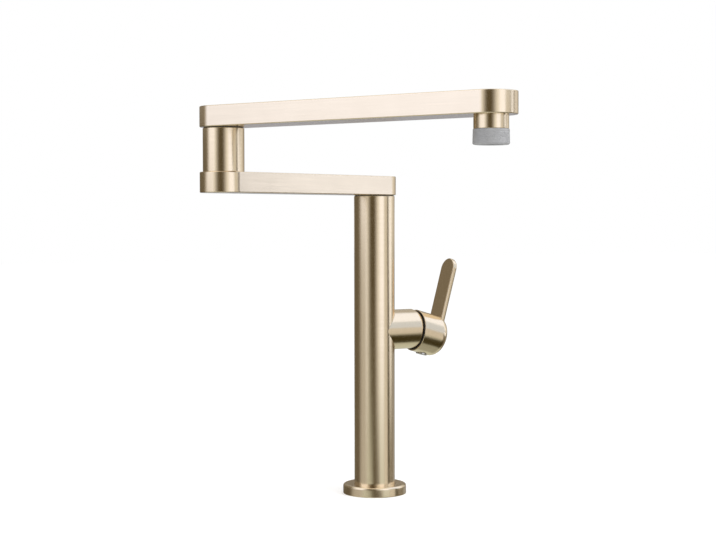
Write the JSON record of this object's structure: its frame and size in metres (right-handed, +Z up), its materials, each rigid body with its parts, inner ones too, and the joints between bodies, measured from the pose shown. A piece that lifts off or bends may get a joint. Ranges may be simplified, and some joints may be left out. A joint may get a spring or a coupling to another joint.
{
  "type": "pot filler faucet",
  "caption": "Deck-mounted folding pot filler: round column, two flat swivelling arms with an elbow, hanging aerator spout and a side lever mixer.",
  "frame": {"origin": "centre of the flange's underside on the deck, on the column's axis", "axes": "+Z up along the column, +X along the valve barrel towards the lever, -Y towards the cook"},
  "size_m": [0.2786, 0.3227, 0.3324],
  "materials": {
    "brushed_gold": "brushed champagne gold",
    "plain_brass": "machined",
    "copper_pipe": "drawn copper",
    "steel": "plain",
    "black_rubber": "matt",
    "black_plastic": "matt",
    "grey_plastic": "matt",
    "white_plastic": "moulded",
    "grey_silicone": "satin silicone",
    "ceramic": "lapped"
  },
  "bodies": {
    "column": {"base_flange": "brushed_gold", "base_gasket": "black_rubber", "base_insert": "plain_brass", "column_tube": "brushed_gold", "hot_inlet_pipe": "copper_pipe", "cold_inlet_pipe": "copper_pipe", "outlet_pipe": "copper_pipe", "valve_manifold": "plain_brass", "valve_barrel": "brushed_gold", "cartridge_base": "white_plastic", "cartridge_seals": "black_rubber", "fixed_disc": "ceramic", "cartridge_shell": "white_plastic", "cartridge_nut": "plain_brass", "column_head": "plain_brass", "head_adapter": "plain_brass", "column_thrust_washer": "grey_plastic"},
    "mixing_rotor": {"cartridge_rotor": "white_plastic", "stem_pin": "steel"},
    "control_disc": {"moving_disc": "ceramic", "disc_carrier": "white_plastic"},
    "lever": {"lever_stem": "plain_brass", "lever_cap": "brushed_gold", "lever_blade": "brushed_gold", "cap_glide_ring": "black_plastic", "cap_grub_screw": "steel", "index_plug": "steel"},
    "lower_arm": {"lower_arm_shell": "brushed_gold", "lower_arm_base_plate": "brushed_gold", "lower_arm_spigot": "plain_brass", "lower_arm_o_rings": "black_rubber", "lower_arm_clip": "steel", "lower_arm_tube": "copper_pipe", "elbow_base": "plain_brass", "elbow_socket": "plain_brass", "elbow_sleeve": "brushed_gold", "elbow_thrust_washer": "grey_plastic", "elbow_clamp_screw": "steel"},
    "upper_arm": {"upper_arm_shell": "brushed_gold", "upper_arm_base_plate": "brushed_gold", "upper_arm_spigot": "plain_brass", "upper_arm_o_rings": "black_rubber", "upper_arm_clip": "steel", "upper_arm_tube": "copper_pipe", "spout_outlet": "plain_brass", "spout_nozzle": "brushed_gold", "aerator_washer": "black_rubber", "aerator_housing": "grey_silicone", "aerator_core": "white_plastic", "aerator_screen": "steel"}
  },
  "joints": [
    {"name": "lower_arm_swivel", "type": "hinge", "parent": "column", "child": "lower_arm", "pos_m": [0, 0, 0.264], "axis": [0, 0, 1], "continuous": true},
    {"name": "elbow_swivel", "type": "hinge", "parent": "lower_arm", "child": "upper_arm", "pos_m": [-0.17399, -0.04989, 0.3159], "axis": [0, 0, 1], "continuous": true},
    {"name": "temperature_turn", "type": "hinge", "parent": "column", "child": "mixing_rotor", "pos_m": [0.0325, 0, 0.1445], "axis": [1, 0, 0], "range_deg": [-45, 45]},
    {"name": "lever_tilt", "type": "hinge", "parent": "mixing_rotor", "child": "lever", "pos_m": [0.0325, 0, 0.1445], "axis": [0, 1, 0], "range_deg": [-16, 9]},
    {"name": "disc_slide", "type": "slide", "parent": "mixing_rotor", "child": "control_disc", "axis": [0, 0, 1], "range_m": [-0.00189, 0.00107]}
  ],
  "couplings": [
    {"joint": "disc_slide", "follows": "lever_tilt", "m_per_rad": 0.006729}
  ]
}
